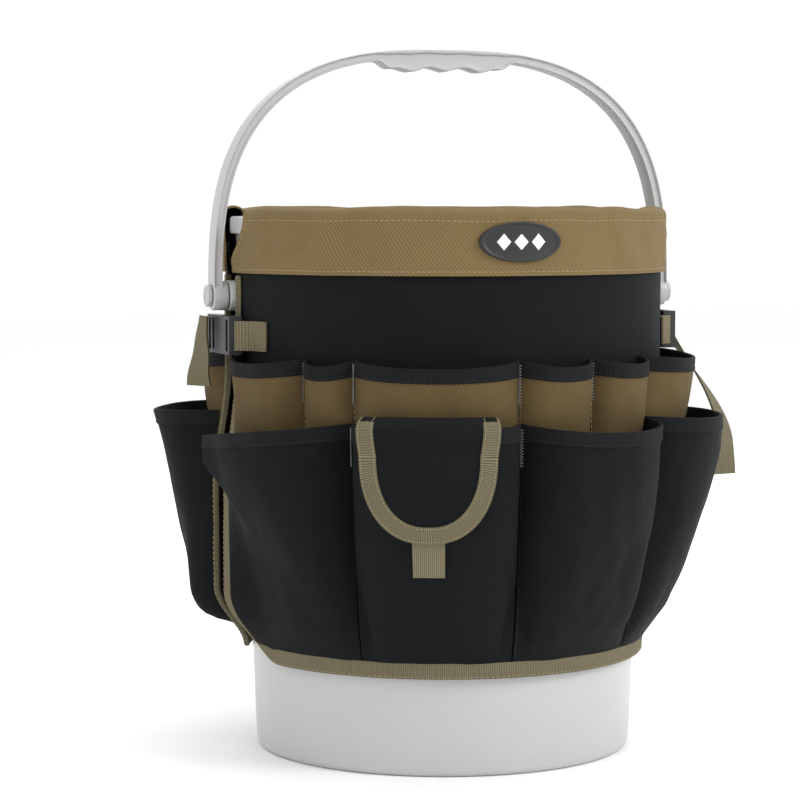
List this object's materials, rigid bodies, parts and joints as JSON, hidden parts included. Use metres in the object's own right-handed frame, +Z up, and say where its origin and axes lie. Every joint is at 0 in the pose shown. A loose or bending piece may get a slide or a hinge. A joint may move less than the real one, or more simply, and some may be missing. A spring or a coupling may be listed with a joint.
{
  "type": "tool bucket organizer",
  "caption": "Two-part fabric tool organizer with two rows of outside pockets, a closing flap and edge tape, hung over the rim of a round plastic pail with a bail handle.",
  "frame": {"origin": "centre of the pail's underside, on the floor", "axes": "+Z up along the pail's axis, -Y towards the middle of the organizer's front half, the bail's ears on the X axis"},
  "size_m": [0.4252, 0.3708, 0.485],
  "materials": {
    "pail_plastic": "smooth off-white polyethylene, faint moulding texture",
    "bail_plastic": "semi-gloss light grey polyethylene",
    "black_cloth": "black woven polyester, fine diagonal weave",
    "tan_cloth": "khaki woven polyester twill",
    "tan_webbing": "khaki ribbed webbing and edge tape",
    "black_webbing": "black ribbed grosgrain tape",
    "buckle_plastic": "black acetal, lightly textured",
    "badge_rubber": "black moulded rubber"
  },
  "bodies": {
    "organizer_and_pail": {"back_apron": "black_cloth", "back_binding": "tan_webbing", "back_collar": "tan_cloth", "back_inner_pocket": "black_cloth", "back_liner": "black_cloth", "back_lower_hem": "black_webbing", "back_lower_pocket_1": "black_cloth", "back_lower_pocket_2": "black_cloth", "back_lower_pocket_3": "black_cloth", "back_lower_pocket_4": "black_cloth", "back_upper_hem": "black_webbing", "back_upper_pocket_1": "tan_cloth", "back_upper_pocket_2": "tan_cloth", "back_upper_pocket_3": "tan_cloth", "back_upper_pocket_4": "tan_cloth", "badge": "badge_rubber", "bail_pin_cap_left": "bail_plastic", "bail_pin_cap_right": "bail_plastic", "bucket_shell": "pail_plastic", "buckle_socket_left": "buckle_plastic", "buckle_socket_right": "buckle_plastic", "front_apron": "black_cloth", "front_binding": "tan_webbing", "front_collar": "tan_cloth", "front_inner_pocket": "black_cloth", "front_liner": "black_cloth", "front_lower_hem": "black_webbing", "front_lower_pocket_1": "black_cloth", "front_lower_pocket_2": "black_cloth", "front_lower_pocket_3": "black_cloth", "front_lower_pocket_4": "black_cloth", "front_upper_hem": "black_webbing", "front_upper_pocket_1": "tan_cloth", "front_upper_pocket_2": "tan_cloth", "front_upper_pocket_3": "tan_cloth", "front_upper_pocket_4": "tan_cloth", "front_upper_pocket_5": "tan_cloth", "front_upper_pocket_6": "tan_cloth", "pocket_loop_patch": "black_webbing", "strap_front_left": "tan_webbing", "strap_front_right": "tan_webbing"},
    "bail": {"bail_handle": "bail_plastic"},
    "flap": {"flap_panel": "black_cloth", "flap_trim": "tan_webbing", "flap_tab": "tan_webbing", "flap_hook_patch": "black_webbing"},
    "prong_left": {"buckle_prong_left": "buckle_plastic", "strap_back_left": "tan_webbing", "strap_tail_left": "tan_webbing"},
    "prong_right": {"buckle_prong_right": "buckle_plastic", "strap_back_right": "tan_webbing", "strap_tail_right": "tan_webbing"}
  },
  "joints": [
    {"name": "bail_swing", "type": "hinge", "parent": "organizer_and_pail", "child": "bail", "pos_m": [0, 0, 0.316], "axis": [1, 0, 0], "range_deg": [-62, 62]},
    {"name": "flap_lift", "type": "hinge", "parent": "organizer_and_pail", "child": "flap", "pos_m": [-0.06552, -0.16464, 0.242], "axis": [-0.9291, 0.3697, 0], "range_deg": [0, 120]},
    {"name": "buckle_left_release", "type": "slide", "parent": "organizer_and_pail", "child": "prong_left", "axis": [-0.0349, 0.9994, 0], "range_m": [0, 0.022], "deforming": ["strap_back_left"]},
    {"name": "buckle_right_release", "type": "slide", "parent": "organizer_and_pail", "child": "prong_right", "axis": [0.0349, 0.9994, 0], "range_m": [0, 0.022], "deforming": ["strap_back_right"]}
  ]
}
